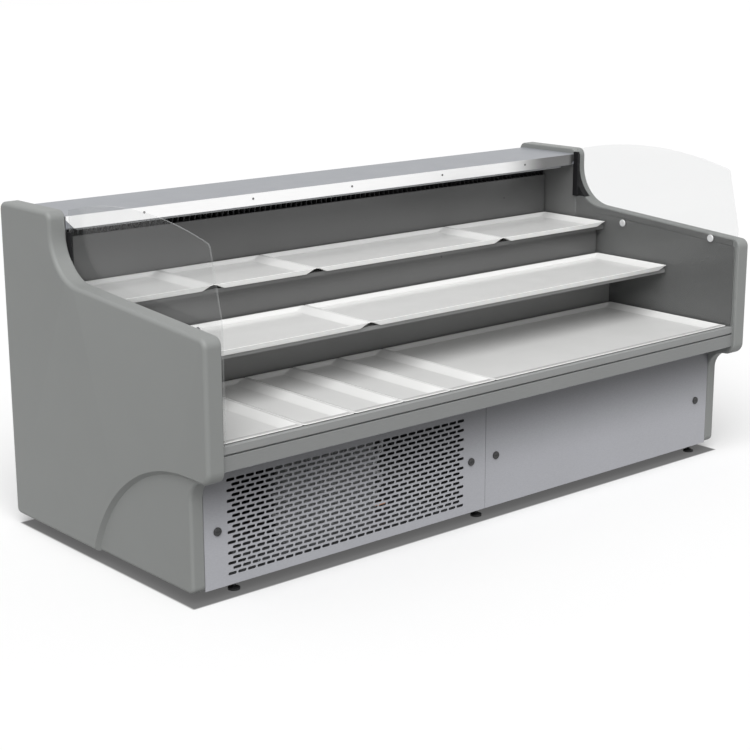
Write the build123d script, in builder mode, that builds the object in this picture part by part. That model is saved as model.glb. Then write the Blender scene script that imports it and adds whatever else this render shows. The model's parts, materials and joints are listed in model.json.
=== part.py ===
from build123d import *
import math
import os

os.makedirs("parts", exist_ok=True)

# Overall size, in millimetres. Setbacks are measured from the front, heights from the panels' base
length = 2540
depth = 1170
panel_height = 1096
foot_height = 38

# End panels
panel_thickness = 63
panel_edge_radius = 14
panel_inner_radius = 5
lower_front = 118
nose_underside = 376
nose_radius = 42
nose_sweep = 74
rim_front_height = 825
rim_back_height = 883
rim_front_radius = 30
tower_front = 850
tower_sweep = 155
tower_top_radius = 28
panel_back_radius = 26
panel_base_radius = 22
arch_height = 388
arch_foot = 661
recess_depth = 15
recess_slope = 40
recess_edge_radius = 11

# Sheet thicknesses and clearances
sheet = 1.5
plate = 3
fit_gap = 0.3
running_gap = 0.05

# Base frame, feet and kick panels
kick_front = 121
kick_top = 400
kick_sheet = 1.5
kick_joint = -9
kick_side_gap = 1
rail_size = 40
rail_wall = 2.5
front_rail_setback = 165
flange_half = 90
frame_top = 405
foot_left_inset = 140
foot_right_inset = 43
foot_pad_radius = 20
foot_pad_height = 7
foot_neck_height = 13
foot_nut_radius = 12
foot_nut_height = 8
foot_stem_radius = 6
foot_stem_reach = 22
slot_length = 32
slot_width = 10
slot_pitch = 37.4
slot_row_pitch = 16.95
slot_columns = 27
slot_rows = 19
slot_field_start = 168
slot_field_base = 36
fastener_left_inset = 50
fastener_right_inset = 70
fastener_height = 185
fastener_head_radius = 14
fastener_head_thickness = 5
fastener_edge_radius = 1.6
fastener_groove_length = 18
fastener_groove_width = 2.5
fastener_groove_depth = 1.6
fastener_pin_radius = 5
fastener_reach = 16

# Insulated tank
tank_front = 25
tank_rear = 1150
front_foam = 6
floor_foam = 30
rear_foam = 48
drain_x = 760
drain_setback = 205
drain_radius = 16
drain_wall = 2.5
pipe_hole_x = -1120
pipe_hole_setback = 560
pipe_hole_radius = 26

# Bumper rails
bumper_front = 13
bumper_wall = 2
bumper_bottom = 410
bumper_groove_bottom = 457
bumper_groove_top = 463
bumper_top = 488
bumper_edge_radius = 1.5

# Display levels and trays
deck_level = 475
deck_tray_front = 48
deck_tray_rear = 622
deck_riser = 635
middle_level = 668
middle_tray_front = 333
middle_tray_rear = 700
middle_riser = 715
upper_level = 802
upper_tray_front = 662
upper_tray_rear = 1003
shelf_lip = 14
shelf_setback = 14
step_foot = 22
tray_height = 18
tray_wall = 2.5
tray_rim = 6
tray_end_draft = 38
tray_front_draft = 12
tray_corner = 10
tray_gap = 2
tray_end_gap = 6
deck_first_tray = 306
deck_narrow_tray = 206
deck_narrow_count = 4
middle_first_tray = 841
upper_first_trays = [430, 443, 922]
support_sheet = 2
support_end_inset = 8
shelf_margin = 5
support_front = 90
support_inner = 400
shelf_end_gap = 1

# Air path
grille_setback = 62
grille_slot_length = 24
grille_slot_width = 12
grille_slot_pitch = 38
grille_flange = 15
duct_front = 1013
duct_top = 975
duct_lip = 22
comb_depth = 25
comb_pitch = 24
comb_wall = 1.5
comb_rows = 2
coil_front = 690
coil_depth = 120
coil_height = 180
coil_half_length = 1030
coil_rows = 3
coil_fin_pitch = 60
coil_tube_radius = 6
coil_tube_rise = 50
coil_tube_inset = 30
coil_fin = 1
coil_tube_stub = 12
board_setback = 836
board_side_gap = 1
fan_height = 548
fan_blades = 5
fan_blade_pitch = 32
fan_blade_thickness = 2
fan_blade_root = 3
fan_chord_ratio = 0.36
motor_gap = 4
motor_foot = 10
motor_arm = 4
motor_edge_radius = 3
window_front = 680
window_rear = 862
window_height = 212
fan_x = 620
fan_hole_radius = 100
fan_blade_gap = 5
fan_hub_radius = 30
fan_hub_length = 28
fan_shaft_radius = 4
motor_radius = 27
motor_length = 40

# Side linings and side glass
lining = 3
lining_margin = 25
lining_front = 20
lining_foot = 50
lining_front_base = 490
glass = 6
glass_base = 470
glass_foot = 52
glass_lip_gap = 2
glass_front = 4
glass_lean_height = 868
glass_corner_setback = 56
glass_corner_height = 1090
glass_crown_setback = 520
glass_crown_height = 1143
glass_rear = 836
glass_rear_height = 1098
glass_corner_radius = 18
disc_radius = 14
disc_thickness = 4
disc_edge_radius = 1.3
disc_pin_radius = 4
disc_pin_reach = 22
disc_front_place = (130, 819)
disc_rear_place = (575, 823)

# Top shelf and its front strip
shelf_front = 849
shelf_rear = 1152
shelf_top = 1076
shelf_base = 1027
shelf_wall = 2
shelf_nose_depth = 26
shelf_nose_rise = 9
strip_bevel = 30
strip_screw_count = 5
strip_screw_pitch = 453.4
strip_screw_height = 1058
screw_head_radius = 4
screw_head_height = 1.6
screw_edge_radius = 0.8
screw_shank_radius = 2
screw_reach = 14
lamp_setback = 878
lamp_width = 14
lamp_height = 6
lamp_edge_radius = 3
lamp_end_gap = 57

# Condensing unit
machine_tray_left = -1000
machine_tray_right = -230
machine_tray_sheet = 2
machine_tray_edge = 15
condenser_x = -640
condenser_width = 380
condenser_height = 320
condenser_front = 200
condenser_depth = 60
condenser_rows = 5
condenser_fin_pitch = 12
condenser_tube_radius = 5
condenser_tube_rise = 60
condenser_tube_inset = 15
shroud_depth = 46
shroud_wall = 2
condenser_fan_radius = 130
condenser_motor_radius = 38
condenser_motor_length = 60
compressor_x = -480
compressor_setback = 640
compressor_radius = 92
compressor_base = 28
compressor_body_height = 150
compressor_dome = 50
compressor_plate = 3
compressor_plate_half = 105
compressor_foot_radius = 12
compressor_seam = 3
compressor_stub = 18
compressor_stub_radius = 11
terminal_box_width = 60
terminal_box_depth = 30
terminal_box_height = 50
terminal_box_radius = 6

# Pipes and drain
suction_radius = 8
suction_offset = -10
suction_height = 138
liquid_radius = 4
liquid_offset = 11
liquid_setback = 470
discharge_radius = 5
discharge_height = 108
discharge_setback = 500
pipe_right = -400
pipe_bend = 12
pipe_floor_gap = 17
drier_radius = 14
drier_length = 110
drier_end_radius = 7
drier_setback = 345
grommet_flange = 8
grommet_flange_height = 2
trap_step = 80
trap_base = 170
trap_rise = 70
trap_bend = 20
drain_flange_radius = 30
drain_flange_height = 2
drain_end = -28

# Rear panel, control box, switch and cable gland
rear_panel_setback = 1128
rear_panel_top = 403
vent_columns = 12
vent_rows = 10
vent_length = 36
vent_width = 8
vent_column_pitch = 46
vent_row_pitch = 24
vent_base = 90
vent_field_x = -560
control_x = 700
control_height = 200
control_width = 160
control_tall = 60
control_bezel = 4
control_edge_radius = 1.3
control_corner = 6
control_body_width = 140
control_body_tall = 44
control_body_depth = 50
control_wall = 2
control_slab = 16
display_offset = -25
display_width = 60
display_tall = 26
display_recess = 1
switch_offset = 45
switch_width = 20
switch_tall = 30
switch_gap = 1
switch_depth = 14
switch_tilt = 8
switch_pivot_depth = 2
switch_pin_radius = 1.5
switch_pin_reach = 3
switch_back = 6
switch_chamfer = 3
gland_x = 1000
gland_height = 70
gland_radius = 10
gland_nut_radius = 15
gland_nut_length = 12
gland_lock_length = 5
gland_dome_length = 8
gland_dome_radius = 4
gland_bore_radius = 5

inner_half = length / 2 - panel_thickness
lining_face = inner_half - lining
glass_face = lining_face - glass
support_end = glass_face - support_end_inset
inside_half = glass_face - shelf_end_gap
tray_half = glass_face - tray_end_gap
kick_back = kick_front + kick_sheet
floor_level = frame_top + 2 * sheet + floor_foam
tank_inner_front = tank_front + 2 * sheet + front_foam
tank_inner_rear = tank_rear - 2 * sheet - rear_foam


def at(setback, height):
    """Point in a cross-section of the counter, as (y, z)."""
    return (setback - depth / 2, foot_height + height)


def place(x, setback, height):
    """Point in space, from a place along the counter, a setback and a height."""
    return (x, setback - depth / 2, foot_height + height)


def section(x):
    """Plane of a cross-section at x, with local x to the back and local y up."""
    return Plane.YZ.offset(x)


def facing(setback):
    """Upright plane that faces the front at a setback, with local x along the counter."""
    return Plane(origin=(0, setback - depth / 2, foot_height), x_dir=(1, 0, 0), z_dir=(0, -1, 0))


def level(height):
    """Level plane at a height above the panels' base."""
    return Plane.XY.offset(foot_height + height)


def corner(sketch, setback, height):
    """Corner of a cross-section sketch nearest to a setback and a height."""
    y, z = at(setback, height)
    return sketch.vertices().sort_by_distance(Vector(y, z, 0))[0]


def save(piece, name):
    """Label a finished piece and write it."""
    piece.part.label = name
    export_step(piece.part, f"parts/{name}.step")


def bar_of(points, left, right):
    """Solid bar with the given closed cross-section, running from left to right."""
    with BuildPart() as piece:
        with BuildSketch(section(left)):
            with BuildLine():
                Polyline(*[at(s, h) for s, h in points], close=True)
            make_face()
        extrude(amount=right - left)
    return piece


def row_of(pitch, count):
    """Evenly spaced positions centred on zero."""
    return [(n - (count - 1) / 2) * pitch for n in range(count)]


# End panels
arch_radius = ((arch_foot - lower_front) ** 2 + arch_height**2) / (2 * arch_height)
arch_centre_height = arch_height - arch_radius
arch_skirt = 60
arch_start = lower_front + math.sqrt(arch_radius**2 - (arch_skirt + arch_centre_height) ** 2)

with BuildPart() as end_panel_left:
    with BuildSketch(section(-length / 2)) as outline:
        with BuildLine():
            Polyline(
                at(lower_front, 0),
                at(lower_front, nose_underside),
                at(0, nose_underside),
                at(0, rim_front_height),
                at(tower_front, rim_back_height),
                at(tower_front, panel_height),
                at(depth, panel_height),
                at(depth, 0),
                close=True,
            )
        make_face()
        fillet(corner(outline, lower_front, nose_underside), nose_sweep)
        fillet(corner(outline, 0, nose_underside), nose_radius)
        fillet(corner(outline, 0, rim_front_height), rim_front_radius)
        fillet(corner(outline, tower_front, rim_back_height), tower_sweep)
        fillet(corner(outline, tower_front, panel_height), tower_top_radius)
        fillet(corner(outline, depth, panel_height), panel_back_radius)
        fillet([corner(outline, depth, 0), corner(outline, lower_front, 0)], panel_base_radius)
    extrude(amount=panel_thickness)
    sides = end_panel_left.faces().filter_by(Axis.X).sort_by(Axis.X)
    fillet(sides[0].edges(), panel_edge_radius)
    sides = end_panel_left.faces().filter_by(Axis.X).sort_by(Axis.X)
    fillet(sides[-1].edges(), panel_inner_radius)
    with BuildSketch(section(-length / 2)):
        with BuildLine():
            RadiusArc(at(arch_start, -arch_skirt), at(lower_front, arch_height), -arch_radius)
            Polyline(
                at(lower_front, arch_height),
                at(-arch_skirt, arch_height),
                at(-arch_skirt, -arch_skirt),
                at(arch_start, -arch_skirt),
            )
        make_face()
    extrude(amount=recess_depth, taper=recess_slope, mode=Mode.SUBTRACT)
    recess = end_panel_left.faces().filter_by(Axis.X).group_by(Axis.X)[1][0]
    recess_front = at(lower_front + panel_base_radius, 0)[0]
    front_edges = recess.edges().filter_by(lambda edge: edge.center().Y < recess_front)
    fillet(front_edges.filter_by(Axis.Y, reverse=True), recess_edge_radius)
    for setback, height in [disc_front_place, disc_rear_place]:
        with BuildSketch(section(-inner_half)):
            with Locations(at(setback, height)):
                Circle(disc_pin_radius + fit_gap)
        extrude(amount=-(disc_pin_reach - lining), mode=Mode.SUBTRACT)
with BuildPart() as end_panel_right:
    mirror(end_panel_left.part, about=Plane.YZ)
save(end_panel_left, "end_panel_left")
save(end_panel_right, "end_panel_right")

# Base frame: three sheet supports welded on two square rails
support_places = [
    (-inner_half, -inner_half, -inner_half + flange_half),
    (kick_joint - plate / 2, kick_joint - flange_half, kick_joint + flange_half),
    (inner_half - plate, inner_half - flange_half, inner_half),
]
rail_setbacks = [front_rail_setback, rear_panel_setback - rail_size / 2]
foot_places = [-inner_half + foot_left_inset, kick_joint, inner_half - foot_right_inset]
fastener_places = [
    -inner_half + kick_side_gap + fastener_left_inset,
    kick_joint - fastener_right_inset,
    kick_joint + fastener_left_inset,
    inner_half - kick_side_gap - fastener_right_inset,
]

with BuildPart() as base_frame:
    for rail_setback in rail_setbacks:
        with BuildSketch(section(-inner_half)):
            with Locations(at(rail_setback, rail_size / 2)):
                Rectangle(rail_size, rail_size)
                Rectangle(rail_size - 2 * rail_wall, rail_size - 2 * rail_wall, mode=Mode.SUBTRACT)
        extrude(amount=2 * inner_half)
    for web_left, flange_left, flange_right in support_places:
        with BuildSketch(section(web_left)):
            with BuildLine():
                Polyline(
                    at(kick_back, rail_size),
                    at(kick_back, frame_top),
                    at(rear_panel_setback, frame_top),
                    at(rear_panel_setback, rail_size),
                    close=True,
                )
            make_face()
        extrude(amount=plate)
        for flange_setback in [kick_back, rear_panel_setback - plate]:
            with BuildSketch(facing(flange_setback)):
                with BuildLine():
                    Polyline(
                        (flange_left, rail_size),
                        (flange_left, frame_top),
                        (flange_right, frame_top),
                        (flange_right, rail_size),
                        close=True,
                    )
                make_face()
            extrude(amount=-plate)
    with BuildSketch(facing(kick_back)):
        with Locations(*[(x, fastener_height) for x in fastener_places]):
            Circle(fastener_pin_radius + fit_gap)
    extrude(amount=-plate, mode=Mode.SUBTRACT)
    with BuildSketch(level(0)):
        with Locations(*[place(x, s, 0)[:2] for x in foot_places for s in rail_setbacks]):
            Circle(foot_stem_radius + fit_gap)
    extrude(amount=rail_wall, mode=Mode.SUBTRACT)
save(base_frame, "base_frame")

with BuildPart() as levelling_foot:
    with BuildSketch(Plane.XZ):
        with BuildLine():
            Polyline(
                (0, 0),
                (foot_pad_radius, 0),
                (foot_pad_radius, foot_pad_height),
                (foot_stem_radius, foot_neck_height),
                (foot_stem_radius, foot_height - foot_nut_height),
                (foot_nut_radius, foot_height - foot_nut_height),
                (foot_nut_radius, foot_height),
                (foot_stem_radius, foot_height),
                (foot_stem_radius, foot_height + foot_stem_reach),
                (0, foot_height + foot_stem_reach),
                close=True,
            )
        make_face()
    revolve(axis=Axis.Z)
with BuildPart() as levelling_feet:
    with Locations(*[(x, at(s, 0)[0], 0) for x in foot_places for s in rail_setbacks]):
        add(levelling_foot.part)
save(levelling_feet, "levelling_feet")


# Kick panels: flat sheets held by quarter-turn fasteners
def slot_outline(long, wide):
    """Outline of one slot with rounded ends, centred on the origin."""
    with BuildSketch() as slot:
        SlotOverall(long, wide)
    return slot.sketch.faces()[0].outer_wire()


def hole_outline(radius):
    """Outline of one round hole, centred on the origin."""
    with BuildSketch() as hole:
        Circle(radius)
    return hole.sketch.faces()[0].outer_wire()


def pierced(left, right, top, openings):
    """Flat sheet from the panels' base up to a height, with each outline cut out at its place."""
    border = Wire.make_polygon([(left, 0), (left, top), (right, top), (right, 0)])
    return Face(border, [outline.moved(Location((x, h, 0))) for outline, x, h in openings])


slot = slot_outline(slot_length, slot_width)
slot_start = -length / 2 + slot_field_start
slots = [
    (slot, slot_start + (n + row % 2 / 2) * slot_pitch, slot_field_base + row * slot_row_pitch)
    for row in range(slot_rows)
    for n in range(slot_columns - row % 2)
]
pin_hole = hole_outline(fastener_pin_radius + fit_gap)
pin_holes = [(pin_hole, x, fastener_height) for x in fastener_places]
kick_panels = [
    ("kick_panel_vent", -inner_half + kick_side_gap, kick_joint - kick_side_gap, slots + pin_holes[:2]),
    ("kick_panel_plain", kick_joint + kick_side_gap, inner_half - kick_side_gap, pin_holes[2:]),
]
for name, left, right, openings in kick_panels:
    with BuildPart() as kick_panel:
        with BuildSketch(facing(kick_front)):
            add(pierced(left, right, kick_top, openings))
        extrude(amount=-kick_sheet, clean=False)
    save(kick_panel, name)

for number, fastener_x in enumerate(fastener_places, start=1):
    with BuildPart() as panel_fastener:
        with BuildSketch(facing(kick_front)):
            with Locations((fastener_x, fastener_height)):
                Circle(fastener_head_radius)
        extrude(amount=fastener_head_thickness)
        fillet(panel_fastener.faces().sort_by(Axis.Y)[0].edges(), fastener_edge_radius)
        with BuildSketch(facing(kick_front)):
            with Locations((fastener_x, fastener_height)):
                Circle(fastener_pin_radius)
        extrude(amount=-fastener_reach)
        with BuildSketch(facing(kick_front - fastener_head_thickness)):
            with Locations((fastener_x, fastener_height)):
                Rectangle(fastener_groove_length, fastener_groove_width)
        extrude(amount=-fastener_groove_depth, mode=Mode.SUBTRACT)
    save(panel_fastener, f"panel_fastener_{number}")


# Insulated tank: floor, low front wall and full rear wall in three layers
def tank_layer(front, rear, floor, front_wall, floor_wall, rear_wall):
    """One layer of the tank, from its outer front, rear and floor and its wall thicknesses."""
    return [
        (front, bumper_top - bumper_wall),
        (front, floor),
        (rear, floor),
        (rear, shelf_base),
        (rear - rear_wall, shelf_base),
        (rear - rear_wall, floor + floor_wall),
        (front + front_wall, floor + floor_wall),
        (front + front_wall, bumper_top - bumper_wall),
    ]


def floor_holes(floor, thickness):
    """Cutter for the holes in a tank layer for the drain and the refrigerant pipes."""
    with BuildPart() as cutter:
        with BuildSketch(level(floor)):
            with Locations(place(drain_x, drain_setback, 0)[:2]):
                Circle(drain_radius + fit_gap)
            with Locations(place(pipe_hole_x, pipe_hole_setback, 0)[:2]):
                Circle(pipe_hole_radius)
        extrude(amount=thickness)
    return cutter.part


with BuildPart() as tank_outer_skin:
    skin_section = tank_layer(tank_front, tank_rear, frame_top, sheet, sheet, sheet)
    add(bar_of(skin_section, -inner_half, inner_half).part)
    add(floor_holes(frame_top, sheet), mode=Mode.SUBTRACT)
save(tank_outer_skin, "tank_outer_skin")

with BuildPart() as tank_insulation:
    foam_section = tank_layer(
        tank_front + sheet, tank_rear - sheet, frame_top + sheet, front_foam, floor_foam, rear_foam
    )
    add(bar_of(foam_section, -inner_half, inner_half).part)
    add(floor_holes(frame_top + sheet, floor_foam), mode=Mode.SUBTRACT)
save(tank_insulation, "tank_insulation")

with BuildPart() as tank_liner:
    liner_section = tank_layer(
        tank_inner_front - sheet, tank_inner_rear + sheet, floor_level - sheet, sheet, sheet, sheet
    )
    add(bar_of(liner_section, -inner_half, inner_half).part)
    add(floor_holes(floor_level - sheet, sheet), mode=Mode.SUBTRACT)
save(tank_liner, "tank_liner")


# Bumper rails: open-backed channels on the tank's front
def bumper_rail(bottom, top, top_depth):
    """Channel open to the back between two heights, with a top flange of its own depth."""
    with BuildPart() as rail:
        add(
            bar_of(
                [
                    (bumper_front, bottom),
                    (bumper_front, top),
                    (top_depth, top),
                    (top_depth, top - bumper_wall),
                    (bumper_front + bumper_wall, top - bumper_wall),
                    (bumper_front + bumper_wall, bottom + bumper_wall),
                    (tank_front, bottom + bumper_wall),
                    (tank_front, bottom),
                ],
                -inner_half,
                inner_half,
            ).part
        )
        face_edges = rail.faces().filter_by(Axis.Y).sort_by(Axis.Y)[0].edges().filter_by(Axis.X)
        fillet(face_edges, bumper_edge_radius)
    return rail


save(bumper_rail(bumper_groove_top, bumper_top, tank_inner_front), "bumper_upper_rail")
save(bumper_rail(bumper_bottom, bumper_groove_bottom, tank_front), "bumper_lower_rail")


# Rear service panel: vented sheet that closes the machine space
vent = slot_outline(vent_length, vent_width)
vents = [
    (vent, vent_field_x + x, vent_base + row * vent_row_pitch)
    for x in row_of(vent_column_pitch, vent_columns)
    for row in range(vent_rows)
]
gland_hole = (hole_outline(gland_radius + fit_gap), gland_x, gland_height)
with BuildPart() as rear_service_panel:
    with BuildSketch(facing(rear_panel_setback + sheet)):
        add(pierced(-inner_half, inner_half, rear_panel_top, vents + [gland_hole]))
        with Locations((control_x, control_height)):
            Rectangle(control_body_width + 2 * fit_gap, control_body_tall + 2 * fit_gap, mode=Mode.SUBTRACT)
    extrude(amount=sheet)
save(rear_service_panel, "rear_service_panel")

# Side linings with the bar that carries the side glass
with BuildPart() as side_lining_left:
    with BuildSketch(section(-inner_half)) as lining_outline:
        with BuildLine():
            Polyline(
                at(lining_foot, floor_level),
                at(lining_foot, lining_front_base),
                at(lining_front, lining_front_base),
                at(lining_front, rim_front_height - lining_margin),
                at(tower_front + lining_margin, rim_back_height - lining_margin),
                at(tower_front + lining_margin, shelf_base),
                at(tank_inner_rear, shelf_base),
                at(tank_inner_rear, floor_level),
                close=True,
            )
        make_face()
        fillet(
            corner(lining_outline, tower_front + lining_margin, rim_back_height - lining_margin),
            tower_sweep + lining_margin,
        )
    extrude(amount=lining)
    with BuildSketch(section(-lining_face)):
        with BuildLine():
            Polyline(
                at(glass_foot, floor_level),
                at(glass_foot, glass_base),
                at(glass_rear, glass_base),
                at(glass_rear, floor_level),
                close=True,
            )
        make_face()
    extrude(amount=glass)
    with BuildSketch(section(-inner_half)):
        with Locations(at(*disc_front_place), at(*disc_rear_place)):
            Circle(disc_pin_radius + fit_gap)
    extrude(amount=lining, mode=Mode.SUBTRACT)
with BuildPart() as side_lining_right:
    mirror(side_lining_left.part, about=Plane.YZ)
save(side_lining_left, "side_lining_left")
save(side_lining_right, "side_lining_right")

# Side glass and its fixings
with BuildPart() as side_glass_left:
    with BuildSketch(section(-lining_face)) as glass_outline:
        with BuildLine():
            Polyline(
                at(glass_rear, glass_rear_height),
                at(glass_rear, glass_base),
                at(glass_foot, glass_base),
                at(glass_foot, lining_front_base + glass_lip_gap),
                at(glass_front, lining_front_base + glass_lip_gap),
                at(glass_front, glass_lean_height),
                at(glass_corner_setback, glass_corner_height),
            )
            ThreePointArc(
                at(glass_corner_setback, glass_corner_height),
                at(glass_crown_setback, glass_crown_height),
                at(glass_rear, glass_rear_height),
            )
        make_face()
        fillet(corner(glass_outline, glass_corner_setback, glass_corner_height), glass_corner_radius)
        with Locations(at(*disc_front_place), at(*disc_rear_place)):
            Circle(disc_pin_radius + 2 * fit_gap, mode=Mode.SUBTRACT)
    extrude(amount=glass)
with BuildPart() as side_glass_right:
    mirror(side_glass_left.part, about=Plane.YZ)
save(side_glass_left, "side_glass_left")
save(side_glass_right, "side_glass_right")

with BuildPart() as left_fixings:
    with BuildSketch(section(-glass_face)):
        with Locations(at(*disc_front_place), at(*disc_rear_place)):
            Circle(disc_radius)
    extrude(amount=disc_thickness)
    fillet(left_fixings.faces().filter_by(Axis.X).group_by(Axis.X)[-1].edges(), disc_edge_radius)
    with BuildSketch(section(-glass_face)):
        with Locations(at(*disc_front_place), at(*disc_rear_place)):
            Circle(disc_pin_radius)
    extrude(amount=-disc_pin_reach)
with BuildPart() as glass_fixings:
    add(left_fixings.part)
    mirror(left_fixings.part, about=Plane.YZ)
save(glass_fixings, "glass_fixings")

# Top shelf, its bright front strip and the strip's screws
screw_places = [(x, strip_screw_height) for x in row_of(strip_screw_pitch, strip_screw_count)]
with BuildPart() as top_shelf:
    with BuildSketch(section(-inner_half)):
        with BuildLine():
            Polyline(
                at(shelf_front, shelf_base + shelf_nose_rise),
                at(shelf_front, shelf_top),
                at(shelf_rear, shelf_top),
                at(shelf_rear, shelf_base),
                at(shelf_front + shelf_nose_depth, shelf_base),
                at(shelf_front + shelf_nose_depth, shelf_base + shelf_nose_rise),
                close=True,
            )
        make_face()
        offset(amount=-shelf_wall, mode=Mode.SUBTRACT)
    extrude(amount=2 * inner_half)
    with BuildSketch(facing(shelf_front)):
        with Locations(*screw_places):
            Circle(screw_shank_radius + fit_gap)
    extrude(amount=-shelf_wall, mode=Mode.SUBTRACT)
save(top_shelf, "top_shelf")

strip_base = shelf_base + shelf_nose_rise - shelf_wall
with BuildPart() as front_strip:
    with BuildSketch(facing(shelf_front - shelf_wall)) as strip_face:
        with BuildLine():
            Polyline(
                (strip_bevel - inner_half, strip_base),
                (-inner_half, strip_base + strip_bevel),
                (-inner_half, shelf_top),
                (inner_half, shelf_top),
                (inner_half, strip_base + strip_bevel),
                (inner_half - strip_bevel, strip_base),
                close=True,
            )
        make_face()
        with Locations(*screw_places):
            Circle(screw_shank_radius + fit_gap, mode=Mode.SUBTRACT)
    extrude(amount=-shelf_wall)
    with BuildSketch(level(strip_base)):
        with Locations((0, at(shelf_front + (shelf_nose_depth - shelf_wall) / 2, 0)[0])):
            Rectangle(2 * (inner_half - strip_bevel), shelf_nose_depth + shelf_wall)
    extrude(amount=shelf_wall)
save(front_strip, "front_strip")

with BuildPart() as strip_screws:
    with BuildSketch(facing(shelf_front - shelf_wall)):
        with Locations(*screw_places):
            Circle(screw_head_radius)
    extrude(amount=screw_head_height)
    fillet(strip_screws.faces().filter_by(Axis.Y).group_by(Axis.Y)[0].edges(), screw_edge_radius)
    with BuildSketch(facing(shelf_front - shelf_wall)):
        with Locations(*screw_places):
            Circle(screw_shank_radius)
    extrude(amount=-screw_reach)
save(strip_screws, "strip_screws")

with BuildPart() as shelf_lamp:
    with BuildSketch(section(lamp_end_gap - inner_half)) as lamp_section:
        with BuildLine():
            Polyline(
                at(lamp_setback, shelf_base),
                at(lamp_setback, shelf_base - lamp_height),
                at(lamp_setback + lamp_width, shelf_base - lamp_height),
                at(lamp_setback + lamp_width, shelf_base),
                close=True,
            )
        make_face()
        lower_corners = [
            corner(lamp_section, lamp_setback, shelf_base - lamp_height),
            corner(lamp_section, lamp_setback + lamp_width, shelf_base - lamp_height),
        ]
        fillet(lower_corners, lamp_edge_radius)
    extrude(amount=2 * (inner_half - lamp_end_gap))
save(shelf_lamp, "shelf_lamp")


# Steps, deck plate, duct panel and the ribs under them
def flat_sheet(front, rear, top):
    """Cross-section of a flat sheet with its upper face at the given height."""
    return [(front, top), (rear, top), (rear, top - sheet), (front, top - sheet)]


step_rear = duct_front + comb_depth
deck_plate_rear = deck_riser + step_foot + shelf_margin
with BuildPart() as deck_plate:
    add(bar_of(flat_sheet(grille_setback, deck_plate_rear, deck_level), -inside_half, inside_half).part)
save(deck_plate, "deck_plate")


def stepped_shelf(front, rear, top, riser, base):
    """Sheet shelf with a front lip, on a riser with a foot turned to the back."""
    with BuildPart() as shelf:
        add(bar_of(flat_sheet(front, rear, top), -inside_half, inside_half).part)
        with BuildSketch(section(-inside_half)):
            with BuildLine():
                Polyline(
                    at(front, top - sheet),
                    at(front, top - shelf_lip),
                    at(front + sheet, top - shelf_lip),
                    at(front + sheet, top - sheet),
                    close=True,
                )
            make_face()
            with BuildLine():
                Polyline(
                    at(riser, top - sheet),
                    at(riser, base),
                    at(riser + step_foot, base),
                    at(riser + step_foot, base + sheet),
                    at(riser + sheet, base + sheet),
                    at(riser + sheet, top - sheet),
                    close=True,
                )
            make_face()
        extrude(amount=2 * inside_half)
    return shelf


middle_front = middle_tray_front + shelf_setback
middle_rear = middle_riser + step_foot + shelf_margin
save(stepped_shelf(middle_front, middle_rear, middle_level, deck_riser, deck_level), "middle_step")
upper_front = upper_tray_front + shelf_setback
save(stepped_shelf(upper_front, step_rear, upper_level, middle_riser, middle_level), "upper_step")

with BuildPart() as duct_panel:
    duct_section = [
        (duct_front, upper_level),
        (duct_front, duct_top),
        (duct_front + duct_lip, duct_top),
        (duct_front + duct_lip, duct_top - sheet),
        (duct_front + sheet, duct_top - sheet),
        (duct_front + sheet, upper_level + sheet),
        (duct_front + duct_lip, upper_level + sheet),
        (duct_front + duct_lip, upper_level),
    ]
    add(bar_of(duct_section, -inside_half, inside_half).part)
save(duct_panel, "duct_panel")

with BuildPart() as shelf_supports:
    deck_underside = deck_level - sheet
    middle_underside = middle_level - sheet
    upper_underside = upper_level - sheet
    for rib_x in [-support_end, -support_inner, support_inner, support_end]:
        with BuildSketch(section(rib_x - support_sheet / 2)):
            with BuildLine():
                Polyline(
                    at(support_front, floor_level),
                    at(support_front, deck_underside),
                    at(deck_plate_rear, deck_underside),
                    at(deck_plate_rear, middle_underside),
                    at(middle_rear, middle_underside),
                    at(middle_rear, upper_underside),
                    at(duct_front - sheet, upper_underside),
                    at(duct_front - sheet, floor_level),
                    at(window_rear, floor_level),
                    at(window_rear, floor_level + window_height),
                    at(window_front, floor_level + window_height),
                    at(window_front, floor_level),
                    close=True,
                )
            make_face()
        extrude(amount=support_sheet)
save(shelf_supports, "shelf_supports")

# Air path: return grille under the deck and outlet comb at the top of the duct
with BuildPart() as return_air_grille:
    grille_section = [
        (grille_setback, floor_level),
        (grille_setback, deck_underside),
        (grille_setback + grille_flange, deck_underside),
        (grille_setback + grille_flange, deck_underside - sheet),
        (grille_setback + sheet, deck_underside - sheet),
        (grille_setback + sheet, floor_level + sheet),
        (grille_setback + grille_flange, floor_level + sheet),
        (grille_setback + grille_flange, floor_level),
    ]
    add(bar_of(grille_section, -inside_half, inside_half).part)
    grille_columns = int((2 * inside_half - grille_slot_pitch) // grille_slot_pitch)
    grille_middle = (floor_level + deck_underside) / 2
    with BuildSketch(facing(grille_setback)):
        with Locations(*[(x, grille_middle) for x in row_of(grille_slot_pitch, grille_columns)]):
            Rectangle(grille_slot_length, grille_slot_width)
    extrude(amount=-sheet, mode=Mode.SUBTRACT)
save(return_air_grille, "return_air_grille")

comb_top = shelf_base - fit_gap
with BuildPart() as air_outlet_comb:
    comb_columns = int((2 * inside_half - comb_wall) // comb_pitch)
    comb_rise = (comb_top - duct_top - comb_wall) / comb_rows
    comb_half = (comb_columns * comb_pitch + comb_wall) / 2
    with BuildSketch(facing(duct_front)):
        for row in range(comb_rows + 1):
            with Locations((0, duct_top + comb_wall / 2 + row * comb_rise)):
                Rectangle(2 * comb_half, comb_wall)
        with Locations(*[(x, (duct_top + comb_top) / 2) for x in row_of(comb_pitch, comb_columns + 1)]):
            Rectangle(comb_wall, comb_top - duct_top)
    extrude(amount=-comb_depth)
save(air_outlet_comb, "air_outlet_comb")


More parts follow.
